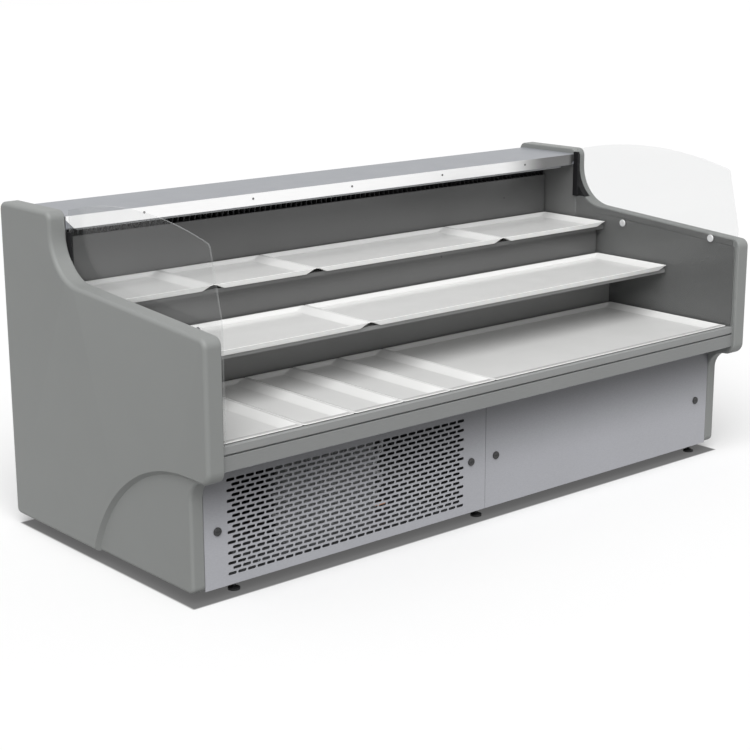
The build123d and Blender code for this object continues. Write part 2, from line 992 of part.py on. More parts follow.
# Finned coils, fan motors and fan rotors
def return_bend(start, middle, direction, radius):
    """Half-round tube from a tube's end, turning about an axis through the given middle."""
    with BuildPart() as bend:
        with BuildSketch(Plane(origin=start, x_dir=(0, 1, 0), z_dir=(1, 0, 0))):
            Circle(radius)
        revolve(axis=Axis(middle, direction), revolution_arc=180)
    return bend.part


def finned_coil(ends, front, base, thickness, height, tube, rows, pitch, port_side):
    """Finned tube block whose one run of tube starts and ends on the port side."""
    tube_radius, tube_rise, tube_inset, stub = tube
    left, right = ends
    columns = [front + tube_inset, front + thickness - tube_inset]
    middle = (columns[0] + columns[1]) / 2
    first_row = base + (height - (rows - 1) * tube_rise) / 2
    heights = [first_row + row * tube_rise for row in range(rows)]
    fins = int((right - left - coil_fin) // pitch) + 1
    port_x, far_x = (left - stub, right + stub) if port_side < 0 else (right + stub, left - stub)
    with BuildPart() as coil:
        with BuildSketch(level(base)):
            with Locations(*[place((left + right) / 2 + x, middle, 0)[:2] for x in row_of(pitch, fins)]):
                Rectangle(coil_fin, thickness)
        extrude(amount=height, clean=False)
        with BuildSketch(section(left - stub)):
            with Locations(*[at(s, h) for s in columns for h in heights]):
                Circle(tube_radius)
        extrude(amount=right - left + 2 * stub, clean=False)
        for h in heights:
            turn = place(far_x, middle, h)
            end = place(far_x, columns[0], h)
            add(return_bend(end, turn, (0, 0, -port_side), tube_radius), clean=False)
        for row, (lower, upper) in enumerate(zip(heights[:-1], heights[1:])):
            column = columns[(row + 1) % 2]
            turn = place(port_x, column, (lower + upper) / 2)
            end = place(port_x, column, lower)
            add(return_bend(end, turn, (0, -port_side, 0), tube_radius), clean=False)
    ports = [place(port_x, columns[0], heights[0]), place(port_x, columns[1], heights[-1])]
    return coil, ports


def fan_rotor(x, middle, height, blade_radius):
    """Rotor with its axis from front to back."""
    chord = fan_chord_ratio * blade_radius
    pitch = math.radians(fan_blade_pitch)
    inner = fan_hub_radius - fan_blade_root
    with BuildPart() as rotor:
        for n in range(fan_blades):
            turn = 2 * math.pi * n / fan_blades
            radial = Vector(math.cos(turn), 0, math.sin(turn))
            tangent = Vector(-math.sin(turn), 0, math.cos(turn))
            across = tangent * math.cos(pitch) + Vector(0, math.sin(pitch), 0)
            root = Vector(*place(x, middle, height)) + radial * inner
            with BuildSketch(Plane(origin=root, x_dir=across, z_dir=radial)):
                Rectangle(chord, fan_blade_thickness)
            extrude(amount=blade_radius - inner)
        with BuildSketch(facing(middle - chord / 2)):
            with Locations((x, height)):
                Circle(blade_radius)
        extrude(amount=-chord, mode=Mode.INTERSECT)
        with BuildSketch(facing(middle - fan_hub_length / 2)):
            with Locations((x, height)):
                Circle(fan_hub_radius)
        extrude(amount=-fan_hub_length)
        with BuildSketch(facing(middle - fan_hub_length / 2)):
            with Locations((x, height)):
                Circle(fan_shaft_radius + running_gap)
        extrude(amount=-fan_hub_length, mode=Mode.SUBTRACT)
    return rotor


def fan_motor(x, rotor_middle, height, body_radius, body_length, opening, board_rear):
    """Motor behind its rotor, on three arms from the board round the fan's opening."""
    body_front = rotor_middle + fan_hub_length / 2 + motor_gap
    arm_setback = body_front + body_length / 2
    outer = opening + 2 * motor_foot
    with BuildPart() as motor:
        with BuildSketch(facing(body_front)):
            with Locations((x, height)):
                Circle(body_radius)
        extrude(amount=-body_length)
        fillet(motor.edges(), motor_edge_radius)
        with BuildSketch(facing(rotor_middle - fan_hub_length / 2)):
            with Locations((x, height)):
                Circle(fan_shaft_radius)
        extrude(amount=-(fan_hub_length + 2 * motor_gap))
        with BuildSketch(facing(arm_setback)):
            with Locations((x, height)):
                with PolarLocations((outer + body_radius / 2) / 2, 3, start_angle=90):
                    Rectangle(outer - body_radius / 2, motor_foot)
        extrude(amount=-motor_arm)
        with BuildSketch(facing(board_rear)):
            with Locations((x, height)):
                with PolarLocations(outer - motor_foot / 2, 3, start_angle=90):
                    Rectangle(motor_foot, motor_foot)
        extrude(amount=-(arm_setback + motor_arm - board_rear))
    return motor.part


coil_tube = (coil_tube_radius, coil_tube_rise, coil_tube_inset, coil_tube_stub)
evaporator_coil, coil_ports = finned_coil(
    (-coil_half_length, coil_half_length),
    coil_front,
    floor_level,
    coil_depth,
    coil_height,
    coil_tube,
    coil_rows,
    coil_fin_pitch,
    -1,
)
save(evaporator_coil, "evaporator_coil")

board_half = support_end - support_sheet / 2 - board_side_gap
slit_base = floor_level + window_height
with BuildPart() as evaporator_fan_board:
    with BuildSketch(facing(board_setback)):
        with BuildLine():
            Polyline(
                (-board_half, floor_level),
                (-board_half, upper_underside),
                (board_half, upper_underside),
                (board_half, floor_level),
                close=True,
            )
        make_face()
        slit_height = upper_underside - slit_base + fit_gap
        with Locations(*[(side * support_inner, (slit_base + upper_underside) / 2) for side in (-1, 1)]):
            Rectangle(support_sheet + 2 * fit_gap, slit_height, mode=Mode.SUBTRACT)
        with Locations(*[(side * fan_x, fan_height) for side in (-1, 1)]):
            Circle(fan_hole_radius, mode=Mode.SUBTRACT)
    extrude(amount=-sheet)
save(evaporator_fan_board, "evaporator_fan_board")

fan_blade_radius = fan_hole_radius - fan_blade_gap
with BuildPart() as evaporator_fan_motors:
    for side in (-1, 1):
        add(
            fan_motor(
                side * fan_x,
                board_setback,
                fan_height,
                motor_radius,
                motor_length,
                fan_hole_radius,
                board_setback + sheet,
            )
        )
save(evaporator_fan_motors, "evaporator_fan_motors")
save(fan_rotor(-fan_x, board_setback, fan_height, fan_blade_radius), "evaporator_fan_left")
save(fan_rotor(fan_x, board_setback, fan_height, fan_blade_radius), "evaporator_fan_right")


# Display trays on the three levels
def tray_outline(left, right, front, rear, inset_ends, inset_sides):
    """Rounded outline of a tray, set in from its rim."""
    width = right - left - 2 * inset_ends
    with Locations(((left + right) / 2, at((front + rear) / 2, 0)[0])):
        RectangleRounded(width, rear - front - 2 * inset_sides, tray_corner)


def display_tray(left, right, front, rear, base):
    """Shallow tray with sloped walls and a flat rim."""
    top = base + tray_height
    with BuildPart() as tray:
        with BuildSketch(level(base)):
            tray_outline(left, right, front, rear, tray_rim + tray_end_draft, tray_rim + tray_front_draft)
        with BuildSketch(level(top)):
            tray_outline(left, right, front, rear, tray_rim, tray_rim)
        loft()
        with BuildSketch(level(top - tray_wall)):
            tray_outline(left, right, front, rear, 0, 0)
        extrude(amount=tray_wall)
        with BuildSketch(level(base + tray_wall)):
            tray_outline(
                left,
                right,
                front,
                rear,
                tray_rim + tray_end_draft + tray_wall,
                tray_rim + tray_front_draft + tray_wall,
            )
        with BuildSketch(level(top)):
            tray_outline(left, right, front, rear, tray_rim + tray_wall, tray_rim + tray_wall)
        loft(mode=Mode.SUBTRACT)
    return tray


def tray_row(name, first_widths, front, rear, base):
    """Row of trays of the given widths, the last one filling what is left."""
    left = -tray_half
    for number, width in enumerate(first_widths, start=1):
        save(display_tray(left, left + width, front, rear, base), f"{name}_{number}")
        left += width + tray_gap
    save(display_tray(left, tray_half, front, rear, base), f"{name}_{len(first_widths) + 1}")


deck_widths = [deck_first_tray] + deck_narrow_count * [deck_narrow_tray]
tray_row("deck_tray", deck_widths, deck_tray_front, deck_tray_rear, deck_level)
tray_row("middle_tray", [middle_first_tray], middle_tray_front, middle_tray_rear, middle_level)
tray_row("upper_tray", upper_first_trays, upper_tray_front, upper_tray_rear, upper_level)

# Condensing unit on its tray
machine_base = rail_size + machine_tray_sheet
with BuildPart() as machine_tray:
    with BuildSketch(facing(kick_back + kick_side_gap)):
        with BuildLine():
            Polyline(
                (machine_tray_left, rail_size + machine_tray_edge),
                (machine_tray_left, rail_size),
                (machine_tray_right, rail_size),
                (machine_tray_right, rail_size + machine_tray_edge),
                (machine_tray_right - machine_tray_sheet, rail_size + machine_tray_edge),
                (machine_tray_right - machine_tray_sheet, machine_base),
                (machine_tray_left + machine_tray_sheet, machine_base),
                (machine_tray_left + machine_tray_sheet, rail_size + machine_tray_edge),
                close=True,
            )
        make_face()
    extrude(amount=-(rear_panel_setback - kick_back - 2 * kick_side_gap))
save(machine_tray, "machine_tray")

compressor_top = machine_base + compressor_base
compressor_place = place(compressor_x, compressor_setback, 0)
with BuildPart() as compressor:
    with BuildSketch(level(machine_base)):
        with Locations(compressor_place[:2]):
            foot_pitch = 2 * (compressor_plate_half - compressor_foot_radius)
            with GridLocations(foot_pitch, foot_pitch, 2, 2):
                Circle(compressor_foot_radius)
    extrude(amount=compressor_base)
    with BuildSketch(level(compressor_top - compressor_plate)):
        with Locations(compressor_place[:2]):
            plate_side = 2 * compressor_plate_half
            RectangleRounded(plate_side, plate_side, compressor_foot_radius)
    extrude(amount=compressor_plate)
    with BuildSketch(level(compressor_top)):
        with Locations(compressor_place[:2]):
            Circle(compressor_radius)
    extrude(amount=compressor_body_height + compressor_dome)
    fillet(compressor.edges().group_by(Axis.Z)[-1], compressor_dome)
    with BuildSketch(level(compressor_top + compressor_body_height / 2)):
        with Locations(compressor_place[:2]):
            Circle(compressor_radius + compressor_seam)
    extrude(amount=compressor_seam)
    with BuildSketch(section(compressor_x - compressor_radius - compressor_stub)):
        with Locations(at(compressor_setback, compressor_top + suction_height - compressor_base)):
            Circle(compressor_stub_radius)
    extrude(amount=compressor_radius)
    with BuildSketch(facing(compressor_setback - compressor_radius - compressor_stub)):
        with Locations((compressor_x, compressor_top + discharge_height - compressor_base)):
            Circle(compressor_stub_radius)
    extrude(amount=-compressor_radius)
    with BuildSketch(section(compressor_x)):
        with Locations(at(compressor_setback, compressor_top + compressor_body_height / 2)):
            RectangleRounded(terminal_box_width, terminal_box_height, terminal_box_radius)
    extrude(amount=compressor_radius + terminal_box_depth)
save(compressor, "compressor")

condenser_tube = (condenser_tube_radius, condenser_tube_rise, condenser_tube_inset, coil_tube_stub)
condenser_coil, condenser_ports = finned_coil(
    (condenser_x - condenser_width / 2, condenser_x + condenser_width / 2),
    condenser_front,
    machine_base,
    condenser_depth,
    condenser_height,
    condenser_tube,
    condenser_rows,
    condenser_fin_pitch,
    1,
)
save(condenser_coil, "condenser_coil")

shroud_front = condenser_front + condenser_depth
shroud_rear = shroud_front + shroud_depth
condenser_fan_height = machine_base + condenser_height / 2
condenser_opening = condenser_fan_radius + fan_blade_gap
with BuildPart() as fan_shroud:
    with BuildSketch(facing(shroud_front)):
        with Locations((condenser_x, condenser_fan_height)):
            Rectangle(condenser_width, condenser_height)
    extrude(amount=-shroud_depth)
    offset(amount=-shroud_wall, openings=fan_shroud.faces().sort_by(Axis.Y)[0])
    with BuildSketch(facing(shroud_rear - shroud_wall)):
        with Locations((condenser_x, condenser_fan_height)):
            Circle(condenser_opening)
    extrude(amount=-shroud_wall, mode=Mode.SUBTRACT)
save(fan_shroud, "fan_shroud")

rotor_middle = shroud_rear - shroud_wall / 2
with BuildPart() as condenser_fan_motor:
    add(
        fan_motor(
            condenser_x,
            rotor_middle,
            condenser_fan_height,
            condenser_motor_radius,
            condenser_motor_length,
            condenser_opening,
            shroud_rear,
        )
    )
save(condenser_fan_motor, "condenser_fan_motor")
save(fan_rotor(condenser_x, rotor_middle, condenser_fan_height, condenser_fan_radius), "condenser_fan")


# Refrigerant pipes, with the grommet that seals them in the tank floor
def tube_run(points, radius, bend):
    """Round bar along straight runs joined by bends."""
    with BuildPart() as run:
        with BuildLine() as path:
            FilletPolyline(*points, radius=bend)
        with BuildSketch(path.line ^ 0):
            Circle(radius)
        sweep()
    return run.part


suction_x = pipe_hole_x + suction_offset
liquid_x = pipe_hole_x + liquid_offset
pipe_floor = floor_level + pipe_floor_gap
coil_rear_tube = coil_front + coil_depth - coil_tube_inset
coil_top_tube = floor_level + (coil_height + (coil_rows - 1) * coil_tube_rise) / 2
coil_low_tube = floor_level + (coil_height - (coil_rows - 1) * coil_tube_rise) / 2
condenser_top_tube = machine_base + (condenser_height + (condenser_rows - 1) * condenser_tube_rise) / 2
condenser_low_tube = machine_base + (condenser_height - (condenser_rows - 1) * condenser_tube_rise) / 2
suction_level = machine_base + suction_height
suction_run = [
    coil_ports[1],
    place(suction_x, coil_rear_tube, coil_top_tube),
    place(suction_x, coil_rear_tube, pipe_floor),
    place(suction_x, pipe_hole_setback, pipe_floor),
    place(suction_x, pipe_hole_setback, suction_level),
    place(suction_x, compressor_setback, suction_level),
    place(compressor_x - compressor_radius - compressor_stub, compressor_setback, suction_level),
]
liquid_run = [
    coil_ports[0],
    place(liquid_x, coil_front + coil_tube_inset, coil_low_tube),
    place(liquid_x, coil_front + coil_tube_inset, pipe_floor),
    place(liquid_x, pipe_hole_setback, pipe_floor),
    place(liquid_x, pipe_hole_setback, condenser_low_tube),
    place(liquid_x, liquid_setback, condenser_low_tube),
    place(pipe_right + liquid_offset, liquid_setback, condenser_low_tube),
    place(pipe_right + liquid_offset, condenser_front + condenser_tube_inset, condenser_low_tube),
    condenser_ports[0],
]
discharge_level = machine_base + discharge_height
compressor_front = compressor_setback - compressor_radius - compressor_stub
discharge_run = [
    place(compressor_x, compressor_front, discharge_level),
    place(compressor_x, discharge_setback, discharge_level),
    place(pipe_right, discharge_setback, discharge_level),
    place(pipe_right, discharge_setback, condenser_top_tube),
    place(pipe_right, condenser_front + condenser_depth - condenser_tube_inset, condenser_top_tube),
    condenser_ports[1],
]
with BuildPart() as liquid_line:
    add(tube_run(liquid_run, liquid_radius, 2 * liquid_radius))
    with BuildSketch(facing(drier_setback - drier_length / 2)):
        with Locations((pipe_right + liquid_offset, condenser_low_tube)):
            Circle(drier_radius)
    extrude(amount=-drier_length)
    drier_edges = liquid_line.edges().filter_by(GeomType.CIRCLE)
    fillet(drier_edges.filter_by(lambda edge: edge.radius == drier_radius), drier_end_radius)
with BuildPart() as grommet:
    with BuildSketch(level(frame_top)):
        with Locations(place(pipe_hole_x, pipe_hole_setback, 0)[:2]):
            Circle(pipe_hole_radius - fit_gap)
    extrude(amount=floor_level - frame_top)
    with BuildSketch(level(floor_level)):
        with Locations(place(pipe_hole_x, pipe_hole_setback, 0)[:2]):
            Circle(pipe_hole_radius + grommet_flange)
    extrude(amount=grommet_flange_height)
    with BuildSketch(level(frame_top)):
        with Locations(place(suction_x, pipe_hole_setback, 0)[:2]):
            Circle(suction_radius + fit_gap)
        with Locations(place(liquid_x, pipe_hole_setback, 0)[:2]):
            Circle(liquid_radius + fit_gap)
    extrude(amount=floor_level - frame_top + grommet_flange_height, mode=Mode.SUBTRACT)
with BuildPart() as pipework:
    add(tube_run(suction_run, suction_radius, pipe_bend))
    add(tube_run(discharge_run, discharge_radius, pipe_bend))
    add(liquid_line.part)
    add(grommet.part)
save(pipework, "pipework")

# Drain with its water trap
drain_run = [
    place(drain_x, drain_setback, floor_level + drain_flange_height),
    place(drain_x, drain_setback, trap_base),
    place(drain_x + trap_step, drain_setback, trap_base),
    place(drain_x + trap_step, drain_setback, trap_base + trap_rise),
    place(drain_x + 2 * trap_step, drain_setback, trap_base + trap_rise),
    place(drain_x + 2 * trap_step, drain_setback, drain_end),
]
with BuildPart() as drain_pipe:
    add(tube_run(drain_run, drain_radius, trap_bend))
    with BuildSketch(level(floor_level)):
        with Locations(place(drain_x, drain_setback, 0)[:2]):
            Circle(drain_flange_radius)
    extrude(amount=drain_flange_height)
    add(tube_run(drain_run, drain_radius - drain_wall, trap_bend), mode=Mode.SUBTRACT)
save(drain_pipe, "drain_pipe")

# Control box in the rear panel, with its rocker switch
panel_rear = rear_panel_setback + sheet
control_front = panel_rear - control_body_depth
control_face = panel_rear + control_bezel
switch_x = control_x + switch_offset
pivot_setback = control_face - switch_pivot_depth
with BuildPart() as control_box:
    with BuildSketch(facing(panel_rear)):
        with Locations((control_x, control_height)):
            RectangleRounded(control_width, control_tall, control_corner)
    extrude(amount=-control_bezel)
    fillet(control_box.faces().sort_by(Axis.Y)[-1].edges(), control_edge_radius)
    with BuildSketch(facing(control_front)):
        with Locations((control_x, control_height)):
            Rectangle(control_body_width, control_body_tall)
    extrude(amount=-control_body_depth)
    with BuildSketch(facing(control_front)):
        with Locations((control_x, control_height)):
            Rectangle(control_body_width - 2 * control_wall, control_body_tall - 2 * control_wall)
    extrude(amount=control_slab - control_body_depth, mode=Mode.SUBTRACT)
    with BuildSketch(facing(control_face)):
        with Locations((control_x + display_offset, control_height)):
            Rectangle(display_width, display_tall)
    extrude(amount=display_recess, mode=Mode.SUBTRACT)
    with BuildSketch(facing(control_face)):
        with Locations((switch_x, control_height)):
            Rectangle(switch_width, switch_tall)
    extrude(amount=switch_depth, mode=Mode.SUBTRACT)
    with BuildSketch(section(switch_x - switch_width / 2 - switch_pin_reach - fit_gap)):
        with Locations(at(pivot_setback, control_height)):
            Circle(switch_pin_radius + running_gap)
    extrude(amount=switch_width + 2 * (switch_pin_reach + fit_gap), mode=Mode.SUBTRACT)
save(control_box, "control_box")

rocker_half = switch_tall / 2 - switch_gap
rocker_end = rocker_half * math.tan(math.radians(switch_tilt)) + switch_pin_radius
rocker_points = [
    (switch_pin_radius, 0),
    (rocker_end, rocker_half),
    (switch_chamfer - switch_back, rocker_half),
    (-switch_back, rocker_half - switch_chamfer),
    (-switch_back, switch_chamfer - rocker_half),
    (switch_chamfer - switch_back, -rocker_half),
    (rocker_end, -rocker_half),
]
tilt_cos = math.cos(math.radians(switch_tilt))
tilt_sin = math.sin(math.radians(switch_tilt))
with BuildPart() as main_switch:
    with BuildSketch(section(switch_x - switch_width / 2 + fit_gap)):
        with BuildLine():
            Polyline(
                *[
                    at(
                        pivot_setback + out * tilt_cos + up * tilt_sin,
                        control_height + up * tilt_cos - out * tilt_sin,
                    )
                    for out, up in rocker_points
                ],
                close=True,
            )
        make_face()
    extrude(amount=switch_width - 2 * fit_gap)
    with BuildSketch(section(switch_x - switch_width / 2 - switch_pin_reach)):
        with Locations(at(pivot_setback, control_height)):
            Circle(switch_pin_radius)
    extrude(amount=switch_width + 2 * switch_pin_reach)
save(main_switch, "main_switch")

# Gland for the supply cable
with BuildPart() as cable_gland:
    with BuildSketch(facing(rear_panel_setback - gland_lock_length)):
        with Locations((gland_x, gland_height)):
            RegularPolygon(gland_nut_radius, 6)
    extrude(amount=-gland_lock_length)
    with BuildSketch(facing(rear_panel_setback)):
        with Locations((gland_x, gland_height)):
            Circle(gland_radius)
    extrude(amount=-(sheet + gland_nut_length + gland_dome_length))
    fillet(cable_gland.edges().group_by(Axis.Y)[-1], gland_dome_radius)
    with BuildSketch(facing(panel_rear)):
        with Locations((gland_x, gland_height)):
            RegularPolygon(gland_nut_radius, 6)
    extrude(amount=-gland_nut_length)
    with BuildSketch(facing(rear_panel_setback - gland_lock_length)):
        with Locations((gland_x, gland_height)):
            Circle(gland_bore_radius)
    gland_length = gland_lock_length + sheet + gland_nut_length + gland_dome_length
    extrude(amount=-gland_length, mode=Mode.SUBTRACT)
save(cable_gland, "cable_gland")
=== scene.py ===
import json
import math

import bpy
import bmesh
from mathutils import Matrix, Vector


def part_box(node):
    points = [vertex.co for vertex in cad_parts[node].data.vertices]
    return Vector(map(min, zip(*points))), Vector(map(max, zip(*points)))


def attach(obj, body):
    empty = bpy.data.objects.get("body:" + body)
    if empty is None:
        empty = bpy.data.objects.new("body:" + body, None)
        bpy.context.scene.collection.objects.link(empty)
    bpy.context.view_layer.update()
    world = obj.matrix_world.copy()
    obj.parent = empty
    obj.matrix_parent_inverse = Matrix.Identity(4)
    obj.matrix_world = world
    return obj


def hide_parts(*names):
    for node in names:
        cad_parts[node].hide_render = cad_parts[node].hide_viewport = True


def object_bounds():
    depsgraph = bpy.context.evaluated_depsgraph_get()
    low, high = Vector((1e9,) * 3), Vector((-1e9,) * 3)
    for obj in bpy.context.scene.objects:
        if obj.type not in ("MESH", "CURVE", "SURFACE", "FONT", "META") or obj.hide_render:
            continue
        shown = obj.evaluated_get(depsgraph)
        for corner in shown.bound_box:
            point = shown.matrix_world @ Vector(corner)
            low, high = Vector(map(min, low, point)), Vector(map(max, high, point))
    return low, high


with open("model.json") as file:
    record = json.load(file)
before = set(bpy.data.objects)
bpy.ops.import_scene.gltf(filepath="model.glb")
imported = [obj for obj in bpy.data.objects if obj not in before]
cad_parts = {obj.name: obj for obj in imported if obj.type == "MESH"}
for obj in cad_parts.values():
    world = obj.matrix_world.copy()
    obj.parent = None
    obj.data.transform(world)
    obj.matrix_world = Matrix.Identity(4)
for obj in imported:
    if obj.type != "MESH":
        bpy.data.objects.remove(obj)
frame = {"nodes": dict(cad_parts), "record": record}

cad_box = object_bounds()
scene = bpy.context.scene
CABINET = "cabinet"
MM = 0.001

# Floor: its brightness, what it throws back, its glow, and the painted shade under the counter's edge
# and deeper under it
FLOOR_WHITE = 0.84
FLOOR_BOUNCE = 0.30
FLOOR_LIFT = 0.11
FLOOR_SHADE = 0.08
SHADE_INSET = 0.008
SHADE_EDGE = 0.006
SHADE_DEEP = (0.10, 0.19)
SHADE_DIM = 0.12
FLOOR_SIZE = 80

# Light and camera, with angles in degrees
AMBIENT = 0.40
SUN = 2.8
SUN_HEIGHT = 50
SUN_SPREAD = 55
CAMERA_AZIMUTH = -40.74
CAMERA_HEIGHT = 14.56
CAMERA_ROLL = -0.16
CAMERA_PLACE = (-3.98875, -4.49494, 1.99088)
CAMERA_LENS = 81.33
CAMERA_SENSOR = 36


# Shader nodes
ALL_ONE = (1, 1, 1)


def new_material(name):
    """Material with an empty node tree and its output."""
    mat = bpy.data.materials.new(name)
    mat.use_nodes = True
    tree = mat.node_tree
    tree.nodes.clear()
    return mat, tree, tree.nodes.new("ShaderNodeOutputMaterial")


def noise(tree, scale, stretch, detail, rough):
    """Noise in features per metre, on object coordinates stretched along each axis."""
    source = tree.nodes.new("ShaderNodeTexCoord")
    mapping = tree.nodes.new("ShaderNodeMapping")
    mapping.inputs["Scale"].default_value = stretch
    tree.links.new(source.outputs["Object"], mapping.inputs["Vector"])
    node = tree.nodes.new("ShaderNodeTexNoise")
    node.inputs["Scale"].default_value = scale
    node.inputs["Detail"].default_value = detail
    node.inputs["Roughness"].default_value = rough
    tree.links.new(mapping.outputs["Vector"], node.inputs["Vector"])
    return node.outputs["Fac"]


def crystals(tree, scale):
    """Random value for each crystal of a zinc coat."""
    source = tree.nodes.new("ShaderNodeTexCoord")
    cells = tree.nodes.new("ShaderNodeTexVoronoi")
    cells.inputs["Scale"].default_value = scale
    tree.links.new(source.outputs["Object"], cells.inputs["Vector"])
    split = tree.nodes.new("ShaderNodeSeparateColor")
    tree.links.new(cells.outputs["Color"], split.inputs["Color"])
    return split.outputs[0]


def spread(tree, value, low, high, source_low=0.15, source_high=0.85):
    """Value moved from its usual spread to a new one."""
    node = tree.nodes.new("ShaderNodeMapRange")
    node.inputs["From Min"].default_value = source_low
    node.inputs["From Max"].default_value = source_high
    node.inputs["To Min"].default_value = low
    node.inputs["To Max"].default_value = high
    tree.links.new(value, node.inputs["Value"])
    return node.outputs["Result"]


def combine(tree, operation, *values):
    """Result of an arithmetic operation on sockets or plain numbers."""
    node = tree.nodes.new("ShaderNodeMath")
    node.operation = operation
    for socket, value in zip(node.inputs, values):
        if isinstance(value, float):
            socket.default_value = value
        else:
            tree.links.new(value, socket)
    return node.outputs[0]


def along(tree, axis, start, end, low, high):
    """Value that goes smoothly from low to high between two places along an axis."""
    source = tree.nodes.new("ShaderNodeTexCoord")
    split = tree.nodes.new("ShaderNodeSeparateXYZ")
    tree.links.new(source.outputs["Object"], split.inputs[0])
    node = tree.nodes.new("ShaderNodeMapRange")
    node.interpolation_type = "SMOOTHSTEP"
    node.inputs["From Min"].default_value = start
    node.inputs["From Max"].default_value = end
    node.inputs["To Min"].default_value = low
    node.inputs["To Max"].default_value = high
    tree.links.new(split.outputs[axis], node.inputs["Value"])
    return node.outputs["Result"]


def seen_rays(tree):
    """One for the rays that show a surface to the camera, direct, through glass or in a mirror."""
    path = tree.nodes.new("ShaderNodeLightPath")
    seen = combine(tree, "MAXIMUM", path.outputs["Is Camera Ray"], path.outputs["Is Transmission Ray"])
    return combine(tree, "MAXIMUM", seen, path.outputs["Is Glossy Ray"])


def tinted(tree, colour, value):
    """Colour made lighter or darker by a value round 1."""
    node = tree.nodes.new("ShaderNodeMix")
    node.data_type = "RGBA"
    node.blend_type = "MULTIPLY"
    node.inputs[0].default_value = 1.0
    node.inputs[6].default_value = (*colour, 1)
    grey = tree.nodes.new("ShaderNodeCombineColor")
    for channel in range(3):
        tree.links.new(value, grey.inputs[channel])
    tree.links.new(grey.outputs[0], node.inputs[7])
    return node.outputs[2]


# Finishes
# Detail and roughness of fine, broad and patchy noise
FINE_NOISE = (4.0, 0.6)
BROAD_NOISE = (2.0, 0.5)
PATCH_NOISE = (3.0, 0.6)
COAT_ROUGHNESS = 0.12
ROUGH_SPREAD = 0.08
CLOUD_SCALE = 2.3
PATCH_SCALE = 9.0
CRYSTAL_SCALE = 70
EDGE_POINTINESS = (0.505, 0.56)


def finish_of(name, colour, rough, metallic=0.0, grain=600, stretch=ALL_ONE, bump=0.00005, mottle=0.05,
              cloud=0.04, coat=0.0, wear=0.0, specular=0.5, fade=None, spangle=0.0):
    """Opaque surface: clouds and fine grain in colour, gloss and relief, paler worn edges, and, where a fade
    is given, painted shade or painted reflection along an axis.
    """
    mat, tree, out = new_material(name)
    shader = tree.nodes.new("ShaderNodeBsdfPrincipled")
    tree.links.new(shader.outputs[0], out.inputs["Surface"])
    shader.inputs["Metallic"].default_value = metallic
    shader.inputs["Specular IOR Level"].default_value = specular
    shader.inputs["Coat Weight"].default_value = coat
    shader.inputs["Coat Roughness"].default_value = COAT_ROUGHNESS
    fine = noise(tree, grain, stretch, *FINE_NOISE)
    broad = noise(tree, CLOUD_SCALE, ALL_ONE, *BROAD_NOISE)
    value = combine(tree, "MULTIPLY", spread(tree, fine, 1 - mottle, 1 + mottle),
                    spread(tree, broad, 1 - cloud, 1 + cloud))
    if spangle:
        crystal = spread(tree, crystals(tree, CRYSTAL_SCALE), 1 - spangle, 1 + spangle, 0, 1)
        value = combine(tree, "MULTIPLY", value, crystal)
    if wear:
        geometry = tree.nodes.new("ShaderNodeNewGeometry")
        edge = spread(tree, geometry.outputs["Pointiness"], 1.0, 1.0 + wear, *EDGE_POINTINESS)
        value = combine(tree, "MULTIPLY", value, edge)
    # Painted shade and painted reflection: the fade darkens the colour along an axis
    if fade:
        value = combine(tree, "MULTIPLY", value, along(tree, *fade))
    tree.links.new(tinted(tree, colour, value), shader.inputs["Base Color"])
    patch = noise(tree, PATCH_SCALE, ALL_ONE, *PATCH_NOISE)
    gloss = spread(tree, patch, rough - ROUGH_SPREAD / 2, rough + ROUGH_SPREAD / 2)
    tree.links.new(gloss, shader.inputs["Roughness"])
    relief = tree.nodes.new("ShaderNodeBump")
    relief.inputs["Strength"].default_value = 1.0
    relief.inputs["Distance"].default_value = bump
    tree.links.new(fine, relief.inputs["Height"])
    tree.links.new(relief.outputs[0], shader.inputs["Normal"])
    return mat


GLASS_ROUGHNESS = 0.02
MIRROR_POWER = 4.0
MIRROR_SHARE = (0.45, 0.004)
GROUND_COLOUR = (0.86, 0.88, 0.88, 1)
GROUND_SHARE = 0.13
FACE_NORMAL = 0.7
SMEAR_SCALE = 4.0
SMEAR_SHARE = 0.012


def glass_of(name, clearness):
    """Thin clear sheet glass: a slight veil, a weak mirror at a slant, and pale ground edges."""
    mat, tree, out = new_material(name)
    clear = tree.nodes.new("ShaderNodeBsdfTransparent")
    clear.inputs["Color"].default_value = (*clearness, 1)
    mirror = tree.nodes.new("ShaderNodeBsdfGlossy")
    mirror.inputs["Color"].default_value = (1, 1, 1, 1)
    mirror.inputs["Roughness"].default_value = GLASS_ROUGHNESS
    slant = tree.nodes.new("ShaderNodeLayerWeight")
    share = combine(tree, "POWER", slant.outputs["Facing"], MIRROR_POWER)
    share = combine(tree, "MULTIPLY", share, MIRROR_SHARE[0])
    pane = tree.nodes.new("ShaderNodeMixShader")
    tree.links.new(combine(tree, "ADD", share, MIRROR_SHARE[1]), pane.inputs[0])
    tree.links.new(clear.outputs[0], pane.inputs[1])
    tree.links.new(mirror.outputs[0], pane.inputs[2])
    ground = tree.nodes.new("ShaderNodeBsdfDiffuse")
    ground.inputs["Color"].default_value = GROUND_COLOUR
    geometry = tree.nodes.new("ShaderNodeNewGeometry")
    split = tree.nodes.new("ShaderNodeSeparateXYZ")
    tree.links.new(geometry.outputs["Normal"], split.inputs[0])
    side = combine(tree, "ABSOLUTE", split.outputs[0])
    edge = combine(tree, "MULTIPLY", combine(tree, "LESS_THAN", side, FACE_NORMAL), GROUND_SHARE)
    smear = spread(tree, noise(tree, SMEAR_SCALE, ALL_ONE, *FINE_NOISE), 0.0, SMEAR_SHARE)
    mix = tree.nodes.new("ShaderNodeMixShader")
    tree.links.new(combine(tree, "MAXIMUM", edge, smear), mix.inputs[0])
    tree.links.new(pane.outputs[0], mix.inputs[1])
    tree.links.new(ground.outputs[0], mix.inputs[2])
    tree.links.new(mix.outputs[0], out.inputs["Surface"])
    return mat
